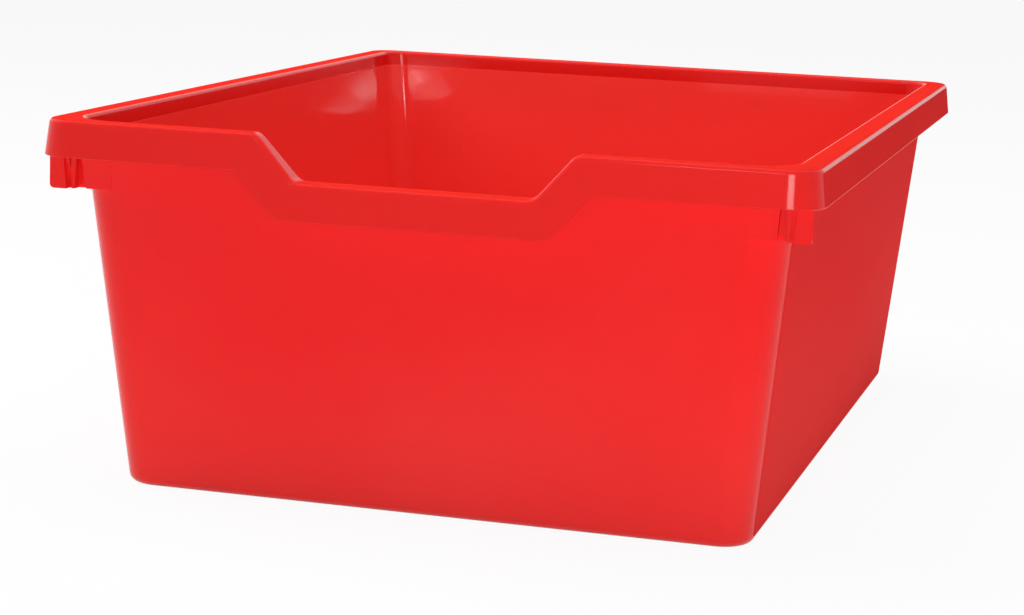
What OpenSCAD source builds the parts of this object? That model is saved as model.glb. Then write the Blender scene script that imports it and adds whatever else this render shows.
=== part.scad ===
// Deep storage tray with a dipped front: one thin-walled moulding in glossy plastic.
// A leaning tub carries a turned-down rim, and two stop lugs hang under its front corners.
// Each node is one natural region of the moulding, and meets its neighbours face to face.
// Origin: centre of the base's underside. +X right, +Y towards the back, +Z up.

/* [Overall size] */
// Width across the rim's lower edge
tray_w = 312; // [250:1:400]
// Depth across the rim's lower edge, front to back
tray_d = 427; // [320:1:560]
// Height from the underside to the top of the rim
tray_h = 152; // [90:1:240]

/* [Tub] */
// Thickness of the base and of all four walls
wall_t = 2; // [1.2:0.1:2.8]
// Lean of the side walls from upright, in degrees
side_lean = 5.4; // [1:0.1:8]
// Lean of the front wall from upright, in degrees
front_lean = 9; // [1:0.1:12]
// Lean of the back wall from upright, in degrees
back_lean = 2; // [1:0.1:8]
// Plan radius of the tub's corners near the base
corner_base_r = 14; // [10:0.5:20]
// Plan radius of the tub's front corners at the top
front_corner_r = 18.6; // [12:0.2:24]
// Plan radius of the tub's back corners at the top
back_corner_r = 11; // [10:0.2:24]
// Radius between the underside and the walls
foot_r = 4; // [3:0.5:6]

/* [Rim] */
// Thickness of the rim's flange and skirt
rim_t = 2; // [1.4:0.1:3]
// Height of the skirt, from the top of the rim to its lower edge
skirt_h = 14.8; // [10:0.2:24]
// How far the skirt's lower edge stands out past its top
skirt_flare = 1.9; // [0.4:0.1:4]
// Plan radius of the rim's corners at the top
rim_corner_r = 12.4; // [8:0.2:20]
// Radius along the rim's top outer edge
rim_edge_r = 2.2; // [1:0.1:3]
// From the tub's side walls to the skirt's lower edge
side_reach = 12.4; // [9:0.1:18]
// From the tub's front and back walls to the skirt's lower edge
end_reach = 10; // [8:0.1:16]

/* [Front dip] */
// Width of the dip's floor
dip_w = 95; // [50:1:140]
// Depth of the dip below the top of the rim
dip_depth = 18.3; // [8:0.1:40]
// Slope of the dip's sides from level, in degrees
dip_slope = 48.7; // [35:0.1:65]
// Radius where the dip's sides meet its floor and the rim
dip_r = 6; // [2:0.5:8]

/* [Stop lugs] */
// How far the lugs reach below the skirt
lug_drop = 13.2; // [6:0.2:24]
// Thickness of a lug's front plate
lug_t = 2.2; // [1.4:0.1:3]
// Thickness of a lug's inner edge, where it leaves the tub's round corner
lug_edge_t = 0.5; // [0.3:0.1:1.2]
// From a lug's outer edge to its recess
lug_wing = 7.1; // [4:0.1:9]
// Width of the recess
recess_w = 6.8; // [5:0.1:8]
// Depth of the recess
recess_depth = 3.5; // [2:0.1:5]
// Width of the rib that stands in the recess
rib_w = 2; // [1:0.1:2.5]
// How far the rib's edge lies behind the lug's outer plate
rib_setback = 2; // [0.4:0.1:3]
// Radius of a lug's lower outer corner
lug_corner_r = 1.8; // [0.5:0.1:3]

/* [Hidden] */
tray_red = [0.9, 0.13, 0.12];
past = 1;          // how far a cutter runs past what it cuts
curve_fn = 96;     // facets of true curves
hull_fn = 32;      // facets of the blended tub corners
dip_steps = 8;     // facets of each bend of the dip
edge_steps = 8;    // facets of the front rim's top edge

skirt_z = tray_h - skirt_h;    // height of the skirt's lower edge
tub_h = tray_h - rim_t;        // height of the flange's underside, where the walls end
skirt_lean = atan(skirt_flare / skirt_h);
skirt_t = rim_t / cos(skirt_lean);    // the skirt's thickness, measured level

// Outer face of each wall at height z, as a distance from the middle of the tray
function side_x(z) = tray_w / 2 - side_reach - (skirt_z - z) * tan(side_lean);
function front_y(z) = tray_d / 2 - end_reach - (skirt_z - z) * tan(front_lean);
function back_y(z) = tray_d / 2 - end_reach - (skirt_z - z) * tan(back_lean);

// Where the rounded foot begins: the edge of the flat underside
side_foot = side_x(foot_r) - foot_r / cos(side_lean);
front_foot = front_y(foot_r) - foot_r / cos(front_lean);
back_foot = back_y(foot_r) - foot_r / cos(back_lean);
foot_corner_r = corner_base_r - foot_r;

// Where straight walls end and round corners begin, at the foot and at the top of the rim
corner_x_low = side_foot - foot_corner_r;
front_corner_x_high = side_x(tray_h) - front_corner_r;
back_corner_x_high = side_x(tray_h) - back_corner_r;
front_corner_low = front_foot - foot_corner_r;
front_corner_high = front_y(tray_h) - front_corner_r;
back_corner_low = back_foot - foot_corner_r;
back_corner_high = back_y(tray_h) - back_corner_r;

// Centres of the rim's rounded corners
rim_corner_x = tray_w / 2 - skirt_flare - rim_corner_r;
rim_corner_y = tray_d / 2 - skirt_flare - rim_corner_r;

// The front rim's sharp top edge, as a distance from the middle of the tray
front_edge_u = tray_d / 2 - skirt_flare;

// The dip's corners on the rim's top surface
dip_floor_x = dip_w / 2;
dip_top_x = dip_floor_x + dip_depth / tan(dip_slope);
dip_floor_z = tray_h - dip_depth;

// The front rim's top line and its skirt's lower line, point for point
dip_top_line = dip_line(0);
dip_low_line = dip_line(skirt_h);

// The stop lugs reach from the tub's round corner to the skirt's inner face.
// Their outer plate hangs upright from where the front wall meets the flange.
lug_plate_y = front_y(tub_h);
lug_z = skirt_z - lug_drop;
lug_in_x = front_corner_x_high + sqrt(lug_edge_t * (2 * front_corner_r - lug_edge_t));
lug_out_x = skirt_inside_x(skirt_z);
lug_top_x = skirt_inside_x(tub_h);
recess_out_x = lug_out_x - lug_wing;
recess_in_x = recess_out_x - recess_w;
rib_in_x = (recess_out_x + recess_in_x - rib_w) / 2;

// Where the skirt's inner face crosses the front of the lug's outer plate in the rim's corner
function skirt_inside_r(z) = rim_corner_r - skirt_t + (tray_h - z) * tan(skirt_lean);
function skirt_inside_x(z) = rim_corner_x
    + sqrt(pow(skirt_inside_r(z), 2) - pow(lug_plate_y - rim_corner_y, 2));

// ---------- placing helpers ----------

// Draws a section whose first axis points to +X and second to +Z along the whole depth
module along_y(length) {
    rotate([90, 0, 0]) linear_extrude(length, center = true) children();
}

// Draws a section whose first axis points to +Y and second to +Z along the whole width
module along_x(length) {
    rotate([90, 0, 90]) linear_extrude(length, center = true) children();
}

// Turns a part drawn towards +X so that it faces the front
module to_front() {
    rotate([0, 0, -90]) children();
}

// Turns a part drawn towards +X so that it faces the back
module to_back() {
    rotate([0, 0, 90]) children();
}

// ---------- tub ----------

// Section of all that lies inside a wall's face, which rolls round the foot and then leans out
module inside_wall(lean, roll_r) {
    rise = tray_h - foot_r;
    circle(roll_r, $fn = curve_fn);
    polygon([
        [0, 0], roll_r * [cos(lean), -sin(lean)],
        [roll_r / cos(lean) + rise * tan(lean), rise], [0, rise]
    ]);
}

// Section of a wall that leans outwards from its rounded foot
module wall_section(foot, lean) {
    translate([foot, foot_r])
        intersection() {
            difference() {
                inside_wall(lean, foot_r);
                inside_wall(lean, foot_r - wall_t);
            }
            translate([0, -foot_r]) square(tray_h);
        }
}

// Corner line's place at height z
function corner_line(low, high, z) = low + (high - low) * (z - foot_r) / (tray_h - foot_r);

// Outline of a wall between two corner lines, up to the flange's underside
function wall_outline(low_a, low_b, high_a, high_b) = [
    [low_a, 0], [low_b, 0], [low_b, foot_r],
    [corner_line(low_b, high_b, tub_h), tub_h],
    [corner_line(low_a, high_a, tub_h), tub_h], [low_a, foot_r]
];

// Side wall, drawn towards +X
module side_wall() {
    intersection() {
        along_y(tray_d) wall_section(side_foot, side_lean);
        along_x(tray_w)
            polygon(wall_outline(-front_corner_low, back_corner_low,
                                 -front_corner_high, back_corner_high));
    }
}

// Front or back wall, as high as its neighbours: high_x is where it ends at the top
module end_wall(foot, lean, high_x) {
    intersection() {
        along_y(tray_w) wall_section(foot, lean);
        along_x(tray_d)
            polygon(wall_outline(-corner_x_low, corner_x_low, -high_x, high_x));
    }
}

// Solid that fills the tub's corner at +X and +Y, with every face shrunk by inset
module corner_block(foot_y, high_y, top_r, lean, inset) {
    hull() {
        translate([corner_x_low, foot_y - foot_corner_r, foot_r])
            rotate_extrude($fn = hull_fn)
                translate([foot_corner_r, 0]) circle(foot_r - inset, $fn = hull_fn);
        translate([side_x(tray_h) - top_r, high_y, tray_h])
            cylinder(h = past, r = top_r - inset / cos(lean), $fn = hull_fn);
    }
}

// Rounded corner wall, drawn at +X and +Y
module corner_wall(foot_y, low_y, high_y, top_r, lean) {
    intersection() {
        difference() {
            corner_block(foot_y, high_y, top_r, lean, 0);
            corner_block(foot_y, high_y, top_r, lean, wall_t);
        }
        along_y(3 * tray_d)
            polygon(wall_outline(corner_x_low, tray_w, side_x(tray_h) - top_r, tray_w));
        along_x(3 * tray_w)
            polygon(wall_outline(low_y, tray_d, high_y, tray_d));
    }
}

module front_corner_wall() {
    mirror([0, 1, 0])
        corner_wall(front_foot, front_corner_low, front_corner_high, front_corner_r, front_lean);
}

module back_corner_wall() {
    corner_wall(back_foot, back_corner_low, back_corner_high, back_corner_r, back_lean);
}

// The base's four round corners belong to the corner walls
module base() {
    color(tray_red)
        linear_extrude(wall_t) {
            translate([-corner_x_low, -front_foot])
                square([2 * corner_x_low, front_foot + back_foot]);
            translate([-side_foot, -front_corner_low])
                square([2 * side_foot, front_corner_low + back_corner_low]);
        }
}

// The front wall stops under the dipped rim
module front_wall() {
    color(tray_red)
        intersection() {
            to_front() end_wall(front_foot, front_lean, front_corner_x_high);
            along_y(tray_d)
                polygon(concat(
                    [[-front_corner_x_high, 0]], dip_line(rim_t), [[front_corner_x_high, 0]]
                ));
        }
}

module back_wall() {
    color(tray_red) to_back() end_wall(back_foot, back_lean, back_corner_x_high);
}

module left_wall() {
    color(tray_red) mirror([1, 0, 0]) side_wall();
}

module right_wall() {
    color(tray_red) side_wall();
}

module front_left_corner() {
    color(tray_red) mirror([1, 0, 0]) front_corner_wall();
}

module front_right_corner() {
    color(tray_red) front_corner_wall();
}

module back_left_corner() {
    color(tray_red) mirror([1, 0, 0]) back_corner_wall();
}

module back_right_corner() {
    color(tray_red) back_corner_wall();
}

// ---------- rim ----------

// Centre of the radius along the rim's top edge, which is sharp at edge_u before it is rounded
function edge_centre_u(edge_u) = edge_u + rim_edge_r * (tan(skirt_lean) - 1 / cos(skirt_lean));

// Takes the sharp top outer edge off a rim section whose edge at the top lies at edge_u
module edge_cutter(edge_u) {
    centre_u = edge_centre_u(edge_u);
    tangent_v = -rim_edge_r * (1 - sin(skirt_lean));
    difference() {
        translate([centre_u, tangent_v])
            square([edge_u - centre_u + past, past - tangent_v]);
        translate([centre_u, -rim_edge_r]) circle(rim_edge_r, $fn = curve_fn);
    }
}

// Section of flange and skirt: u runs outwards, v up from the rim's top surface.
// The flange starts at flange_u, and the skirt's sharp top edge lies at edge_u.
module rim_section(flange_u, edge_u) {
    skirt_in_u = edge_u - skirt_t;
    difference() {
        polygon([
            [flange_u, 0], [edge_u, 0], [edge_u + skirt_flare, -skirt_h],
            [skirt_in_u + skirt_flare, -skirt_h],
            [skirt_in_u + rim_t * tan(skirt_lean), -rim_t], [flange_u, -rim_t]
        ]);
        edge_cutter(edge_u);
    }
}

// Half-plane section that holds everything inside a leaning inner wall face
module inside_section(half_width, lean) {
    polygon([
        [0, foot_r], [half_width - (tray_h - foot_r) * tan(lean), foot_r],
        [half_width + past * tan(lean), tray_h + past], [0, tray_h + past]
    ]);
}

// Straight run of rim, drawn towards +X: wall_x is the tub's outer face at the top of the rim
module rim_run(edge_x, wall_x, lean, run_from, run_to) {
    inner_x = wall_x - wall_t / cos(lean);
    translate([0, (run_from + run_to) / 2, 0])
        difference() {
            along_y(run_to - run_from)
                translate([0, tray_h]) rim_section(wall_x - 3 * wall_t, edge_x - skirt_flare);
            along_y(run_to - run_from + past) inside_section(inner_x, lean);
        }
}

// Side rim, drawn towards +X
module side_rim() {
    rim_run(tray_w / 2, side_x(tray_h), side_lean, -front_corner_high, back_corner_high);
}

// Rim round the tub's corner, drawn at +X and +Y
module rim_corner(foot_y, high_y, top_r, lean) {
    high_x = side_x(tray_h) - top_r;
    run_x = rim_corner_x - high_x;
    run_y = rim_corner_y - high_y;
    difference() {
        union() {
            translate([rim_corner_x, rim_corner_y, tray_h])
                rotate_extrude(angle = 90, $fn = curve_fn) rim_section(0, rim_corner_r);
            translate([high_x + run_x / 2, rim_corner_y, tray_h])
                to_back() along_y(run_x) rim_section(0, rim_corner_r);
            translate([rim_corner_x, high_y + run_y / 2, tray_h])
                along_y(run_y) rim_section(0, rim_corner_r);
            translate([high_x, high_y, tub_h]) cube([run_x + past, run_y + past, rim_t]);
        }
        corner_block(foot_y, high_y, top_r, lean, wall_t);
    }
}

module front_rim_corner() {
    mirror([0, 1, 0]) rim_corner(front_foot, front_corner_high, front_corner_r, front_lean);
}

module back_rim_corner() {
    rim_corner(back_foot, back_corner_high, back_corner_r, back_lean);
}

// One end of the dip, drawn towards +X, at a depth below the rim's top surface
function dip_end(depth) =
    let (
        shift = depth * tan(dip_slope / 2),
        reach = dip_r * tan(dip_slope / 2),
        floor_centre = [dip_floor_x + shift - reach, dip_floor_z - depth + dip_r],
        top_centre = [dip_top_x + shift + reach, tray_h - depth - dip_r]
    )
    concat(
        [for (i = [0:dip_steps]) floor_centre + dip_r * direction(dip_slope * i / dip_steps - 90)],
        [for (i = [dip_steps:-1:0]) top_centre + dip_r * direction(dip_slope * i / dip_steps + 90)]
    );

function direction(angle) = [cos(angle), sin(angle)];

function mirrored(points) = [for (i = [len(points) - 1:-1:0]) [-points[i].x, points[i].y]];

// The front rim's dipped line at a depth below its top surface, seen from the front
function dip_line(depth) = concat(
    [[-front_corner_x_high, tray_h - depth]], mirrored(dip_end(depth)),
    dip_end(depth), [[front_corner_x_high, tray_h - depth]]
);

// Point of the front rim between its top line and its skirt's lower line, v below the top
function between_lines(i, v) = dip_top_line[i] + (dip_low_line[i] - dip_top_line[i]) * -v / skirt_h;

// Point of the front rim at u and v of its section
function on_skirt(i, u, v) = let (p = between_lines(i, v)) [p.x, -u, p.y];

// Point of the front rim's flange on the inner face of the wall, v below the top
function on_wall(i, v) =
    let (p = between_lines(i, v)) [p.x, wall_t / cos(front_lean) - front_y(p.y), p.y];

// Section of the front rim at one point of its line, as a ring of points
function front_ring(i) =
    let (
        centre_u = edge_centre_u(front_edge_u),
        low_u = tray_d / 2
    )
    concat(
        [on_wall(i, 0)],
        [for (k = [edge_steps:-1:0])
            let (arc = rim_edge_r * direction(skirt_lean + (90 - skirt_lean) * k / edge_steps))
            on_skirt(i, centre_u + arc.x, arc.y - rim_edge_r)],
        [
            on_skirt(i, low_u, -skirt_h), on_skirt(i, low_u - skirt_t, -skirt_h),
            on_skirt(i, front_edge_u - skirt_t + rim_t * tan(skirt_lean), -rim_t), on_wall(i, -rim_t)
        ]
    );

// Swept along the dipped line, one ring of points after another
module front_rim() {
    rings = [for (i = [0:len(dip_top_line) - 1]) front_ring(i)];
    count = len(rings[0]);
    last = len(rings) - 1;
    color(tray_red)
        polyhedron(
            points = [for (ring = rings) each ring],
            faces = concat(
                [[for (k = [0:count - 1]) k]],
                [for (i = [0:last - 1], k = [0:count - 1])
                    let (next = (k + 1) % count)
                    [i * count + k, (i + 1) * count + k, (i + 1) * count + next, i * count + next]],
                [[for (k = [count - 1:-1:0]) last * count + k]]
            )
        );
}

module back_rim() {
    color(tray_red)
        to_back()
            rim_run(tray_d / 2, back_y(tray_h), back_lean, -back_corner_x_high, back_corner_x_high);
}

module left_rim() {
    color(tray_red) mirror([1, 0, 0]) side_rim();
}

module right_rim() {
    color(tray_red) side_rim();
}

module front_left_rim_corner() {
    color(tray_red) mirror([1, 0, 0]) front_rim_corner();
}

module front_right_rim_corner() {
    color(tray_red) front_rim_corner();
}

module back_left_rim_corner() {
    color(tray_red) mirror([1, 0, 0]) back_rim_corner();
}

module back_right_rim_corner() {
    color(tray_red) back_rim_corner();
}

// ---------- stop lugs ----------

// Part of a lug whose outline, seen from the front, is the child.
// It lies between two depths behind the plane of the front wall's outer face.
module lug_part(near, far) {
    intersection() {
        along_y(2 * tray_d) children();
        to_front() along_y(2 * tray_w)
            polygon([
                [front_y(lug_z) - far / cos(front_lean), lug_z],
                [front_y(lug_z) - near / cos(front_lean), lug_z],
                [front_y(tub_h) - near / cos(front_lean), tub_h],
                [front_y(tub_h) - far / cos(front_lean), tub_h]
            ]);
    }
}

// Part of a lug that stands upright behind the outer plate's front at its own setback,
// and reaches back to a depth behind the plane of the front wall's outer face
module upright_part(setback, far) {
    intersection() {
        along_y(2 * tray_d) children();
        to_front() along_y(2 * tray_w)
            polygon([
                [front_y(lug_z) - far / cos(front_lean), lug_z],
                [lug_plate_y - setback, lug_z],
                [lug_plate_y - setback, tub_h],
                [front_y(tub_h) - far / cos(front_lean), tub_h]
            ]);
    }
}

// Strip that leans with the side wall, from one place at the lug's lower edge to another
module lug_strip(from_x, to_x) {
    run = (tub_h - lug_z) * tan(side_lean);
    polygon([[from_x, lug_z], [to_x, lug_z], [to_x + run, tub_h], [from_x + run, tub_h]]);
}

// Outline of a lug's outer plate
module lug_plate() {
    run = (tub_h - lug_z) * tan(side_lean);
    difference() {
        polygon([
            [recess_out_x, lug_z], [lug_out_x, lug_z], [lug_out_x, skirt_z],
            [lug_top_x, tub_h], [recess_out_x + run, tub_h]
        ]);
        translate([lug_out_x - lug_corner_r, lug_z])
            difference() {
                square(lug_corner_r);
                translate([0, lug_corner_r]) circle(lug_corner_r, $fn = curve_fn);
            }
    }
}

// Inner plate in the front wall's plane, upright outer plate, and between them a boxed
// recess with a rib in it, drawn at +X
module stop_lug() {
    box_depth = recess_depth + lug_t;
    difference() {
        union() {
            lug_part(0, lug_t)
                polygon([
                    [lug_in_x, lug_z], [recess_in_x, lug_z],
                    [recess_in_x + (tub_h - lug_z) * tan(side_lean), tub_h], [lug_in_x, tub_h]
                ]);
            lug_part(0, box_depth) lug_strip(recess_in_x - lug_t, recess_in_x);
            lug_part(recess_depth, box_depth)
                lug_strip(recess_in_x - lug_t, recess_out_x + lug_t);
            upright_part(0, box_depth) lug_strip(recess_out_x, recess_out_x + lug_t);
            upright_part(rib_setback, recess_depth + past)
                lug_strip(rib_in_x, rib_in_x + rib_w);
            intersection() {
                along_y(2 * tray_d) lug_plate();
                translate([0, lug_t / 2 - lug_plate_y, 0])
                    cube([2 * tray_w, lug_t, 2 * tray_h], center = true);
            }
        }
        mirror([0, 1, 0]) corner_block(front_foot, front_corner_high, front_corner_r, front_lean, 0);
    }
}

module left_stop_lug() {
    color(tray_red) mirror([1, 0, 0]) stop_lug();
}

module right_stop_lug() {
    color(tray_red) stop_lug();
}

base();
front_wall();
back_wall();
left_wall();
right_wall();
front_left_corner();
front_right_corner();
back_left_corner();
back_right_corner();
front_rim();
back_rim();
left_rim();
right_rim();
front_left_rim_corner();
front_right_rim_corner();
back_left_rim_corner();
back_right_rim_corner();
left_stop_lug();
right_stop_lug();
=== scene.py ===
import math

import bmesh
import bpy
from mathutils import Matrix, Vector


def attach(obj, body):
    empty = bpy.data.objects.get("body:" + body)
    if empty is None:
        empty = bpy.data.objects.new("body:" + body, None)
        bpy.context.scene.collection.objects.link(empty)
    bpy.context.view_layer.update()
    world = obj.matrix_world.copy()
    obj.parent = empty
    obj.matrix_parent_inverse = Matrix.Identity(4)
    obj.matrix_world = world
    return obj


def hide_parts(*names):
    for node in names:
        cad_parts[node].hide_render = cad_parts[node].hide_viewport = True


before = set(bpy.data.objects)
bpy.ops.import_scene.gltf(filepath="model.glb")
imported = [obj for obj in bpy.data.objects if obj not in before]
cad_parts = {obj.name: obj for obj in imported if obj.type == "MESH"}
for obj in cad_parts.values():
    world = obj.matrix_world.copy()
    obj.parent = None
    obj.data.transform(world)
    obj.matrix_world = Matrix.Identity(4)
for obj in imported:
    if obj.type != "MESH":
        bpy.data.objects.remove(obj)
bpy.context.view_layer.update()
MM = 0.001


# ---- The tub ----
# The floor, the four leaning walls and their round corners, up to the small step inside the
# mouth. Red polypropylene, 2 mm thick, moulded in one shot with the rim and the stop lugs.

WALL = 2.0            # thickness, square to the wall
FOOT_R = 4.0          # rounding under the walls
STEP_Z = 145.2        # height of the step inside the mouth
DIP_ZONE_Z = 112.0    # below this the front wall has no dip in it
FOOT_END_Z = 7.0      # the foot's shading has run out here
INNER_FOOT_R = FOOT_R - WALL
CORNER_STEPS = 16
CORNER_LOW_R = 14.0   # plan radius of all four corners just above the foot
FRONT_CORNER_R = 18.6    # and of the front and the back corners at the top
BACK_CORNER_R = 11.0
LEAN = {"side": 5.4, "front": 9.0, "back": 2.0}
REACH = {"side": 143.6, "front": 203.5, "back": 203.5}    # at the skirt's lower edge
SKIRT_Z = 137.2       # the skirt's lower edge
TRAY_H = 152.0
ONE_POINT = 1e-7      # metres: points closer than this are one
HELD_OFF = Vector((0, 0, 300 * MM))
SHARP_ANGLE = math.radians(40)


def wall_at(name, z, behind=0.0):
    """Distance from the tray's middle to a wall at height z, or to its inner face."""
    lean = math.radians(LEAN[name])
    return REACH[name] - (SKIRT_Z - z) * math.tan(lean) - behind / math.cos(lean)


def corner_r_at(z, top_r):
    return CORNER_LOW_R + (top_r - CORNER_LOW_R) * (z - FOOT_R) / (TRAY_H - FOOT_R)


def foot_at(name, z, roll):
    """The same distance in the rounded foot, where the roll meets the wall without a kink."""
    lean = math.radians(LEAN[name])
    middle = wall_at(name, FOOT_R) - FOOT_R / math.cos(lean)
    sweep = math.sqrt(max(roll ** 2 - (FOOT_R - z) ** 2, 0))
    return min(middle + sweep, wall_at(name, z, FOOT_R - roll)), sweep


def level_line(mesh, side, front, back, radii, z, filled=False):
    """One level line of the moulding: a rectangle whose front and back corners are bevelled
    round, each pair to its own radius."""
    known = set(mesh.edges)
    corners = [mesh.verts.new((x * MM, y * MM, z * MM)) for x, y in (
        (-side, -front), (side, -front), (side, back), (-side, back))]
    mesh.faces.new(corners)
    for pair, radius in zip((corners[:2], corners[2:]), radii):
        bmesh.ops.bevel(mesh, geom=pair, offset=radius * MM, offset_type="OFFSET",
                        segments=CORNER_STEPS, profile=0.5, affect="VERTICES", material=-1)
    line = [e for e in mesh.edges if e not in known]
    if not filled:
        bmesh.ops.delete(mesh, geom=list({f for e in line for f in e.link_faces}),
                         context="FACES_ONLY")
    return line


def foot_line(mesh, z, roll, filled=False):
    (side, sweep), (front, _), (back, _) = (foot_at(n, z, roll) for n in ("side", "front", "back"))
    radius = CORNER_LOW_R - FOOT_R + sweep
    return level_line(mesh, side, front, back, (radius, radius), z, filled)


def wall_line(mesh, z, behind=0.0):
    radii = [corner_r_at(z, top_r) - behind for top_r in (FRONT_CORNER_R, BACK_CORNER_R)]
    return level_line(mesh, *(wall_at(n, z, behind) for n in ("side", "front", "back")), radii, z)


def skin(mesh, lines):
    """Joins each line to the next. A line is held off while it is joined, so that two lines
    at one level join squarely too."""
    for first, second in zip(lines, lines[1:]):
        ends = list({v for e in second for v in e.verts})
        bmesh.ops.translate(mesh, vec=HELD_OFF, verts=ends)
        bmesh.ops.bridge_loops(mesh, edges=first + second)
        bmesh.ops.translate(mesh, vec=-HELD_OFF, verts=ends)


# The dip in the front: each station is a distance from the middle and the drop there.
DIP_SLOPE = math.radians(48.7)
DIP_R = 6.0
DIP_DEPTH = 18.3
DIP_HALF = 47.5       # half the width of the dip's level part
DIP_STEPS = 8
FRONT_ZONE_Y = 150.0  # faces beyond this belong to the front
BEND = DIP_R * math.tan(DIP_SLOPE / 2)
DIP_TOP = DIP_HALF + DIP_DEPTH / math.tan(DIP_SLOPE)
turns = [DIP_SLOPE * i / DIP_STEPS for i in range(DIP_STEPS + 1)]
dip_stations = [(DIP_HALF - BEND + DIP_R * math.sin(t), DIP_DEPTH - DIP_R * (1 - math.cos(t)))
                for t in turns]
dip_stations += [(DIP_TOP + BEND - DIP_R * math.sin(t), DIP_R * (1 - math.cos(t)))
                 for t in reversed(turns)]


def cut_dip(mesh, lowest_z, skirt_y=1000.0):
    """Cuts the front at each station, then lowers what is above lowest_z into the dip.
    The skirt, beyond skirt_y, drops straight and the wall follows its own lean."""
    columns = []
    for side in (-1, 1):
        for x, drop in dip_stations:
            front = [f for f in mesh.faces if all(v.co.y < -FRONT_ZONE_Y * MM for v in f.verts)
                     and max(v.co.z for v in f.verts) > lowest_z * MM]
            edges = {e for f in front for e in f.edges}
            points = {v for f in front for v in f.verts}
            cut = bmesh.ops.bisect_plane(mesh, geom=[*front, *edges, *points], dist=ONE_POINT,
                                         plane_co=(side * x * MM, 0, 0), plane_no=(1, 0, 0))
            columns.append((side, drop, [v for v in cut["geom_cut"]
                                         if isinstance(v, bmesh.types.BMVert)
                                         and v.co.z > lowest_z * MM]))
    lean_in = math.tan(math.radians(LEAN["front"]))
    spread = math.tan(DIP_SLOPE / 2)
    for side, drop, column in columns:
        slant = Matrix.Identity(4)
        slant[0][2] = -side * spread
        slant[0][3] = side * spread * TRAY_H * MM
        bmesh.ops.transform(mesh, matrix=slant, verts=column)
        wall = [v for v in column if v.co.y > -skirt_y * MM]
        bmesh.ops.translate(mesh, vec=(0, 0, -drop * MM), verts=column)
        bmesh.ops.translate(mesh, vec=(0, drop * lean_in * MM, 0), verts=wall)


def moulding(name, mesh, finish, nodes):
    """Closes a piece: outward faces, soft edges, its finish and its place on the tray."""
    bmesh.ops.remove_doubles(mesh, verts=mesh.verts, dist=ONE_POINT)
    bmesh.ops.recalc_face_normals(mesh, faces=mesh.faces)
    data = bpy.data.meshes.new(name)
    mesh.to_mesh(data)
    mesh.free()
    data.shade_smooth()
    data.set_sharp_from_angle(angle=SHARP_ANGLE)
    data.materials.append(finish)
    piece = bpy.data.objects.new(name, data)
    bpy.context.scene.collection.objects.link(piece)
    flats = piece.modifiers.new("flat_faces", "WEIGHTED_NORMAL")
    flats.keep_sharp = True
    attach(piece, "root")
    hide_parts(*nodes)
    return piece


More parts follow.
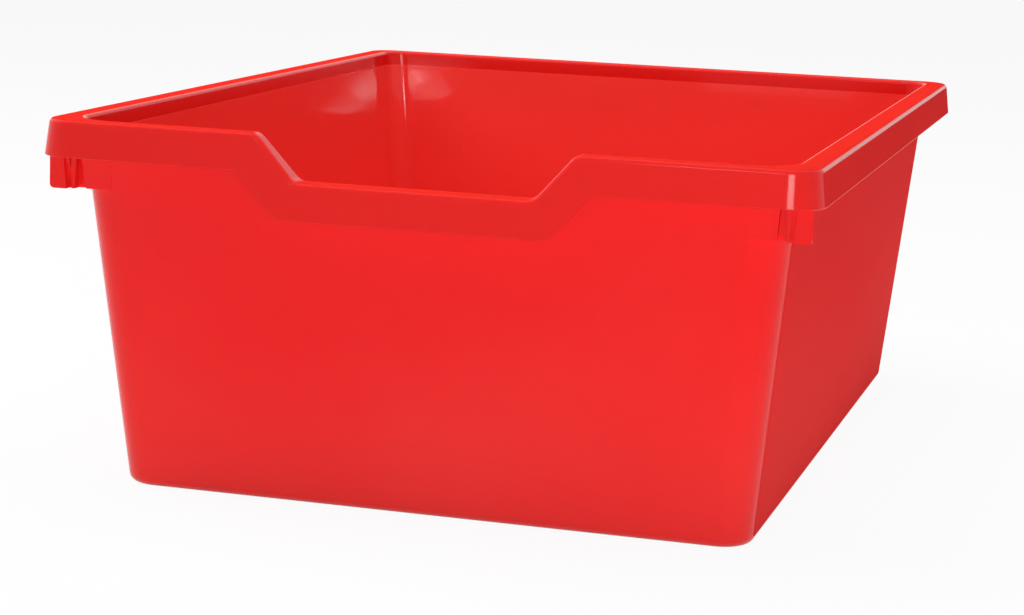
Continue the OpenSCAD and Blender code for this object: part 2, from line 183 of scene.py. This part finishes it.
def moulded_surface_and_painted_light():
    """Colour, gloss and height of the moulded plastic, all in the piece's own space. Faces
    that look up, a share of those that look inwards, and the foot take the second colour,
    mottled at random. The second colour is painted light: paler as a painted reflection and
    sheen on the tub and the lugs, darker as painted shade with a painted sheen on the rim.
    Faces that look up and the outer faces of the two sides are matt."""
    group = bpy.data.node_groups.new("moulded_surface_and_painted_light", "ShaderNodeTree")
    for name, kind in (("Colour", "Color"), ("PaintedLight", "Color"), ("Inside", "Float"),
                       ("FootPaintedReflection", "Float"), ("Gloss", "Float"), ("Waviness", "Float")):
        group.interface.new_socket(name, in_out="INPUT", socket_type="NodeSocket" + kind)
    for name, kind in (("Colour", "Color"), ("Roughness", "Float"), ("Height", "Float")):
        group.interface.new_socket(name, in_out="OUTPUT", socket_type="NodeSocket" + kind)
    nodes, link = group.nodes, group.links.new
    given, result = nodes.new("NodeGroupInput").outputs, nodes.new("NodeGroupOutput").inputs
    coords = nodes.new("ShaderNodeTexCoord").outputs

    def set_or_link(socket, value):
        if isinstance(value, (int, float)):
            socket.default_value = value
        else:
            link(value, socket)

    def maths(kind, *values, clamp=False):
        node = nodes.new("ShaderNodeMath")
        node.operation = kind
        node.use_clamp = clamp
        for socket, value in zip(node.inputs, values):
            set_or_link(socket, value)
        return node.outputs[0]

    def noise(scale, detail, place=coords["Object"]):
        cloud = nodes.new("ShaderNodeTexNoise")
        cloud.inputs["Scale"].default_value = scale
        cloud.inputs["Detail"].default_value = detail
        link(place, cloud.inputs["Vector"])
        return cloud.outputs["Fac"]

    def parts(vector):
        node = nodes.new("ShaderNodeSeparateXYZ")
        link(vector, node.inputs[0])
        return node.outputs

    def ramp(value, start, end):
        node = nodes.new("ShaderNodeMapRange")
        node.interpolation_type = "SMOOTHSTEP"
        link(value, node.inputs["Value"])
        node.inputs["From Min"].default_value = start
        node.inputs["From Max"].default_value = end
        return node.outputs[0]

    place, facing = parts(coords["Object"]), parts(coords["Normal"])
    outwards = maths("ADD", maths("MULTIPLY", place["X"], facing["X"]),
                     maths("MULTIPLY", place["Y"], facing["Y"]))
    inwards, upwards = ramp(outwards, 0.0, -0.03), ramp(facing["Z"], 0.7, 0.97)
    # Painted light: faces that look up, and the given share of inward faces, take the second
    # colour as a painted reflection and sheen, or on the rim as painted shade.
    inside = maths("MAXIMUM", maths("MULTIPLY", inwards, given["Inside"]), upwards)
    # Painted reflection of the floor: the second colour grows towards the bottom of the walls,
    # over the lowest 110 mm.
    foot = maths("MULTIPLY", ramp(place["Z"], 0.11, 0.0), given["FootPaintedReflection"])
    # The share of painted light, mottled at random.
    second = maths("ADD", maths("MAXIMUM", inside, foot),
                   maths("MULTIPLY", maths("SUBTRACT", noise(9, 3), 0.5), 0.5), clamp=True)
    painted_light_mix = nodes.new("ShaderNodeMix")
    painted_light_mix.data_type = "RGBA"
    link(second, painted_light_mix.inputs[0])
    link(given["Colour"], painted_light_mix.inputs[6])
    link(given["PaintedLight"], painted_light_mix.inputs[7])
    link(painted_light_mix.outputs[2], result["Colour"])
    sides = ramp(maths("ABSOLUTE", facing["X"]), 0.95, 0.985)
    matt = maths("MULTIPLY", maths("MAXIMUM", sides, upwards), maths("SUBTRACT", 1.0, inwards))
    cloudy = maths("MULTIPLY", maths("SUBTRACT", noise(14, 4), 0.5), 0.04)
    link(maths("ADD", maths("ADD", cloudy, given["Gloss"]), maths("MULTIPLY", matt, 0.8)),
         result["Roughness"])
    wave = maths("ADD", noise(7, 1), maths("MULTIPLY", noise(420, 2), 0.008))
    link(maths("MULTIPLY", wave, given["Waviness"]), result["Height"])
    return group


surface = moulded_surface_and_painted_light()


def red_plastic(name, colour, second, inside, foot, gloss, waviness):
    finish = bpy.data.materials.new(name)
    finish.use_nodes = True
    nodes, link = finish.node_tree.nodes, finish.node_tree.links.new
    shader = nodes["Principled BSDF"]
    effect = nodes.new("ShaderNodeGroup")
    effect.node_tree = surface
    effect.inputs["Colour"].default_value = (*colour, 1)
    effect.inputs["PaintedLight"].default_value = (*second, 1)
    effect.inputs["Inside"].default_value = inside
    effect.inputs["FootPaintedReflection"].default_value = foot
    effect.inputs["Gloss"].default_value = gloss
    effect.inputs["Waviness"].default_value = waviness
    bump = nodes.new("ShaderNodeBump")
    bump.inputs["Strength"].default_value = 0.5
    bump.inputs["Distance"].default_value = 0.0004
    link(effect.outputs["Colour"], shader.inputs["Base Color"])
    link(effect.outputs["Roughness"], shader.inputs["Roughness"])
    link(effect.outputs["Height"], bump.inputs["Height"])
    link(bump.outputs["Normal"], shader.inputs["Normal"])
    shader.inputs["IOR"].default_value = 1.49
    shader.inputs["Specular IOR Level"].default_value = 0.2
    return finish


# The tub's second colour is paler: a painted reflection and sheen on the inner faces and on faces
# that look up, and a painted reflection of the floor at the foot.
tub_red = red_plastic("tub_red", (0.80, 0.0065, 0.007), (0.84, 0.055, 0.045), inside=1.0,
                      foot=0.30, gloss=0.055, waviness=0.5)

tub = bmesh.new()
roll_turns = [math.radians(a) for a in (0, 18, 36, 54, 68, 80)]
outer = [foot_line(tub, FOOT_R - FOOT_R * math.cos(a), FOOT_R, filled=a == 0) for a in roll_turns]
outer += [wall_line(tub, z) for z in (FOOT_R, FOOT_END_Z, DIP_ZONE_Z, STEP_Z)]
inner = [wall_line(tub, z, WALL) for z in (STEP_Z, DIP_ZONE_Z, FOOT_END_Z, FOOT_R)]
inner += [foot_line(tub, FOOT_R - INNER_FOOT_R * math.cos(a), INNER_FOOT_R, filled=a == 0)
          for a in reversed(roll_turns)]
skin(tub, outer + inner)
cut_dip(tub, DIP_ZONE_Z + 1)
moulding("tray_tub", tub, tub_red, (
    "base", "front_wall", "back_wall", "left_wall", "right_wall",
    "front_left_corner", "front_right_corner", "back_left_corner", "back_right_corner"))


# ---- The rim ----
# The flange round the mouth and the skirt that turns down from it, with the dip in the front.
# Moulded with the tub: its inner face stands back a little above the step.

STEP_BACK = 0.45
SKIRT_T = 2.033
RIM_T = 2.0           # thickness of the flange
SKIRT_REACH = 154.1   # from the middle to the skirt's side at the very top
SKIRT_FLARE = 1.9     # how much further out its lower edge stands
RIM_CENTRE = 141.7    # where the skirt's round corners are centred, from the middle
LONGER = 57.5         # how much further the skirt reaches to front and back than to the sides
RIM_ZONE_Z = 100.0    # the whole rim stands above this
SKIRT_ZONE_Y = 207.2  # what stands beyond this is skirt, and drops straight in the dip


def skirt_line(mesh, reach, z):
    radius = reach - RIM_CENTRE
    return level_line(mesh, reach, reach + LONGER, reach + LONGER, (radius, radius), z)


def skirt_at(z):
    return SKIRT_REACH + SKIRT_FLARE * (TRAY_H - z) / (TRAY_H - SKIRT_Z)


def soften(mesh, line, size, steps):
    bmesh.ops.bevel(mesh, geom=line, offset=size * MM, offset_type="OFFSET", segments=steps,
                    profile=0.5, affect="EDGES", material=-1, clamp_overlap=True)


rim = bmesh.new()
skirt_foot = skirt_line(rim, skirt_at(SKIRT_Z), SKIRT_Z)
top_outside = skirt_line(rim, skirt_at(TRAY_H), TRAY_H)
top_inside = wall_line(rim, TRAY_H, WALL - STEP_BACK)
step_inside = wall_line(rim, STEP_Z, WALL - STEP_BACK)
step_outside = wall_line(rim, STEP_Z)
under_flange = wall_line(rim, TRAY_H - RIM_T)
skirt_root = skirt_line(rim, skirt_at(TRAY_H - RIM_T) - SKIRT_T, TRAY_H - RIM_T)
skirt_inside = skirt_line(rim, skirt_at(SKIRT_Z) - SKIRT_T, SKIRT_Z)
skin(rim, [skirt_foot, top_outside, top_inside, step_inside, step_outside,
           under_flange, skirt_root, skirt_inside, skirt_foot])
soften(rim, top_outside, size=1.94, steps=8)
soften(rim, top_inside, size=1.37, steps=6)
soften(rim, skirt_foot, size=0.55, steps=4)
soften(rim, skirt_inside, size=0.4, steps=3)
soften(rim, skirt_root, size=0.9, steps=3)
cut_dip(rim, RIM_ZONE_Z, skirt_y=SKIRT_ZONE_Y)
# The rim's red is darker than the tub's: painted shade. Its second colour, darker and more orange,
# is painted shade with a painted sheen on the flange's top and on a share of its inner face.
rim_red_painted_shade = red_plastic("rim_red_painted_shade", (0.70, 0.0095, 0.0075), (0.60, 0.012, 0.005), inside=0.2,
                      foot=0.0, gloss=0.13, waviness=0.3)
moulding("tray_rim", rim, rim_red_painted_shade, (
    "front_rim", "back_rim", "left_rim", "right_rim", "front_left_rim_corner",
    "front_right_rim_corner", "back_left_rim_corner", "back_right_rim_corner"))


# ---- The stop lugs ----
# Two small upright plates that hang under the front corners and stop the tray on its runners.
# Moulded with the rim. Beside each plate is a boxed recess, open below, with a thin rib in it.

LUG_Z = 124.0
LUG_INNER = 127.2                 # where the front wall starts to turn its round corner
RECESS = (138.329, 145.129)       # its two sides at the lower edge
RECESS_DEPTH = 2.4
RIB = (142.4, 143.6)              # its two sides at the lower edge
RIB_TOP_SHIFT = (-3.9, -0.9)      # how far each side runs towards the middle at the top
RIB_SET_BACK = 2                  # behind the plate's face
GAP_SET_BACK = 3.3                # the gap between rib and plate, at the lower edge
LUG_OUTER = 152.229
LUG_OUTER_TOP = 150.249
LUG_T = 2.2
LUG_TOP_Z = TRAY_H - RIM_T
LEAN_ZONE_Y = 202.5               # what stands behind this follows the wall's lean
EDGE_ANGLE = 0.6                  # radians: sharper edges than this are rounded
PLATE_Y = wall_at("front", LUG_TOP_Z)


def stop_lug(name, side, node):
    """One lug: its plan at the lower edge is drawn upwards, leans with the walls and is
    rounded."""
    flush, floor_y, back_y = (wall_at("front", LUG_Z, depth)
                              for depth in (0, RECESS_DEPTH, RECESS_DEPTH + LUG_T))
    rib_y, gap_y = PLATE_Y - RIB_SET_BACK, PLATE_Y - GAP_SET_BACK
    plan = [(LUG_INNER, flush), (RECESS[0], flush), (RECESS[0], floor_y), (RIB[0], floor_y),
            (RIB[0], rib_y), (RIB[1], rib_y), (RIB[1], gap_y), (RECESS[1], gap_y),
            (RECESS[1], PLATE_Y), (LUG_OUTER, PLATE_Y), (LUG_OUTER, PLATE_Y - LUG_T),
            (RECESS[1] + LUG_T, PLATE_Y - LUG_T), (RECESS[1] + LUG_T, back_y),
            (RECESS[0] - LUG_T, back_y), (RECESS[0] - LUG_T, wall_at("front", LUG_Z, LUG_T)),
            (LUG_INNER, wall_at("front", LUG_Z, LUG_T))]
    lug = bmesh.new()
    lower = lug.faces.new([lug.verts.new((x * MM, -y * MM, LUG_Z * MM)) for x, y in plan])
    grown = bmesh.ops.extrude_face_region(lug, geom=[lower])
    top = [v for v in grown["geom"] if isinstance(v, bmesh.types.BMVert)]
    rise = LUG_TOP_Z - LUG_Z
    side_lean = rise * math.tan(math.radians(LEAN["side"]))
    bmesh.ops.translate(lug, vec=(0, 0, rise * MM), verts=top)
    bmesh.ops.translate(lug, vec=(0, -rise * math.tan(math.radians(LEAN["front"])) * MM, 0),
                        verts=[v for v in top if v.co.y > -LEAN_ZONE_Y * MM])
    bmesh.ops.translate(lug, vec=(side_lean * MM, 0, 0), verts=[
        v for v in top if (LUG_INNER + 1) * MM < v.co.x < (LUG_OUTER - 1) * MM])
    for edge, shift in zip(RIB, RIB_TOP_SHIFT):
        bmesh.ops.translate(lug, vec=(shift * MM, 0, 0), verts=[
            v for v in top if abs(v.co.x - (edge + side_lean) * MM) < 1e-6])
    bmesh.ops.bisect_plane(lug, geom=lug.verts[:] + lug.edges[:] + lug.faces[:], dist=ONE_POINT,
                           plane_co=(0, 0, SKIRT_Z * MM), plane_no=(0, 0, 1))
    bmesh.ops.translate(lug, vec=((LUG_OUTER_TOP - LUG_OUTER) * MM, 0, 0),
                        verts=[v for v in top if v.co.x > (LUG_OUTER - 1) * MM])
    tip = [e for e in lug.edges if all(v.co.x > (LUG_OUTER - 0.2) * MM
                                       and v.co.z < (LUG_Z + 1) * MM for v in e.verts)]
    soften(lug, tip, size=1.8, steps=6)
    bmesh.ops.recalc_face_normals(lug, faces=lug.faces)
    edges = [e for e in lug.edges if e.is_manifold and e.calc_face_angle() > EDGE_ANGLE
             and not all(v.co.z > (LUG_TOP_Z - 1) * MM for v in e.verts)]
    soften(lug, edges, size=0.35, steps=2)
    if side < 0:
        bmesh.ops.scale(lug, vec=(-1, 1, 1), verts=lug.verts)
    moulding(name, lug, lug_red, (node,))


# The lugs' second colour, paler on faces that look up, is a painted sheen.
lug_red = red_plastic("lug_red", (0.80, 0.007, 0.007), (0.80, 0.040, 0.030), inside=0.0,
                      foot=0.0, gloss=0.09, waviness=0.4)
stop_lug("stop_lug_left", -1, "left_stop_lug")
stop_lug("stop_lug_right", 1, "right_stop_lug")


# ---- Floor, light and camera ----
# A plain pale floor and background, white to the eye, to gloss and to clear parts. Soft lamps
# stand above, to the left and low at the front and right, and a ring of small ones stands
# near the camera, which looks from the front right.

FLOOR_HALF = 6            # metres
BACKGROUND = (0.985, 0.985, 0.985, 1)
FLOOR_WHITE_SHARE = 0.95  # the rest is plain paper, which keeps the shadow
RING_LAMPS = 12
RING_R = 0.078
RING_X, RING_Y, RING_Z = 0.308, -1.17, 0.115
RING_LAMP_SIZE = 0.024
RING_LAMP_POWER = 0.15


def background_seen(nodes, link, rays):
    """One where the eye, gloss or clear parts look at the background, else zero."""
    seen_by = rays["Is Camera Ray"]
    for other in ("Is Glossy Ray", "Is Transmission Ray"):
        either = nodes.new("ShaderNodeMath")
        either.operation = "MAXIMUM"
        link(seen_by, either.inputs[0])
        link(rays[other], either.inputs[1])
        seen_by = either.outputs[0]
    return seen_by


ground = bmesh.new()
bmesh.ops.create_grid(ground, x_segments=1, y_segments=1, size=FLOOR_HALF)
floor_data = bpy.data.meshes.new("studio_floor")
ground.to_mesh(floor_data)
ground.free()
floor = bpy.data.objects.new("studio_floor", floor_data)
bpy.context.scene.collection.objects.link(floor)
paper = bpy.data.materials.new("pale_paper")
paper.use_nodes = True
nodes, link = paper.node_tree.nodes, paper.node_tree.links.new
nodes.clear()
out = nodes.new("ShaderNodeOutputMaterial")
matt = nodes.new("ShaderNodeBsdfDiffuse")
matt.inputs["Color"].default_value = (0.85, 0.84, 0.83, 1)
white = nodes.new("ShaderNodeEmission")
white.inputs["Color"].default_value = BACKGROUND
seen = nodes.new("ShaderNodeLightPath")
mix = nodes.new("ShaderNodeMixShader")
share = nodes.new("ShaderNodeMath")
share.operation = "MULTIPLY"
share.inputs[1].default_value = FLOOR_WHITE_SHARE
link(background_seen(nodes, link, seen.outputs), share.inputs[0])
link(share.outputs[0], mix.inputs[0])
link(matt.outputs[0], mix.inputs[1])
link(white.outputs[0], mix.inputs[2])
link(mix.outputs[0], out.inputs["Surface"])
floor_data.materials.append(paper)

world = bpy.data.worlds.new("studio")
bpy.context.scene.world = world
world.use_nodes = True
nodes, link = world.node_tree.nodes, world.node_tree.links.new
nodes.clear()
out = nodes.new("ShaderNodeOutputWorld")
room = nodes.new("ShaderNodeBackground")
room.inputs["Color"].default_value = (1, 1, 1, 1)
room.inputs["Strength"].default_value = 0.0
backdrop = nodes.new("ShaderNodeBackground")
backdrop.inputs["Color"].default_value = BACKGROUND
backdrop.inputs["Strength"].default_value = 1.0
seen = nodes.new("ShaderNodeLightPath")
mix = nodes.new("ShaderNodeMixShader")
link(background_seen(nodes, link, seen.outputs), mix.inputs[0])
link(room.outputs[0], mix.inputs[1])
link(backdrop.outputs[0], mix.inputs[2])
link(mix.outputs[0], out.inputs["Surface"])


def soft_light(name, place, aim, width, height, power, mirrored=False, shape="RECTANGLE"):
    """A softbox at place, turned towards aim. Only a mirrored one shows in gloss."""
    lamp = bpy.data.lights.new(name, "AREA")
    lamp.shape = shape
    lamp.size, lamp.size_y, lamp.energy = width, height, power
    box = bpy.data.objects.new(name, lamp)
    bpy.context.scene.collection.objects.link(box)
    box.location = place
    box.rotation_euler = (Vector(aim) - Vector(place)).to_track_quat("-Z", "Y").to_euler()
    box.visible_glossy = mirrored
    box.visible_camera = False


for turn in range(RING_LAMPS):
    angle = math.radians(360 / RING_LAMPS * turn)
    across, up = RING_R * math.cos(angle), RING_R * math.sin(angle)
    soft_light(f"ring_light_{turn + 1}", (RING_X + across, RING_Y, RING_Z + up), (across, 0, 0.1),
               RING_LAMP_SIZE, RING_LAMP_SIZE, RING_LAMP_POWER, mirrored=True, shape="DISK")
soft_light("above_ring", (0.39, -1.15, 0.29), (0.1, -0.2, 0.14), 0.32, 0.10, 1.6,
           mirrored=True)
soft_light("overhead", (0.0, 0.0, 1.5), (0, 0, 0.1), 1.6, 1.6, 28)
soft_light("upper_left", (-1.2, 0.0, 1.2), (0, 0, 0.1), 1.2, 0.8, 19)
soft_light("upper_front", (-0.067, -1.17, 0.49), (0.03, -0.2, 0.1), 0.11, 0.16, 0.5,
           mirrored=True)
soft_light("low_front", (0.45, -0.5, 0.012), (0.1, -0.19, 0.02), 0.5, 0.02, 0.55)
soft_light("low_right", (0.37, 0.13, 0.012), (0.14, 0.13, 0.06), 0.46, 0.02, 0.15)

camera = bpy.data.objects.new("camera", bpy.data.cameras.new("camera"))
bpy.context.scene.collection.objects.link(camera)
bpy.context.scene.camera = camera
camera.location = (0.298020, -1.167035, 0.265637)
camera.rotation_euler = [math.radians(a) for a in (80.08481, -1.97072, 16.79744)]
camera.data.sensor_width = 36
camera.data.lens = 93.66107
camera.data.shift_x = 0.063272
camera.data.shift_y = -0.002645

bpy.context.scene.view_settings.view_transform = "Standard"
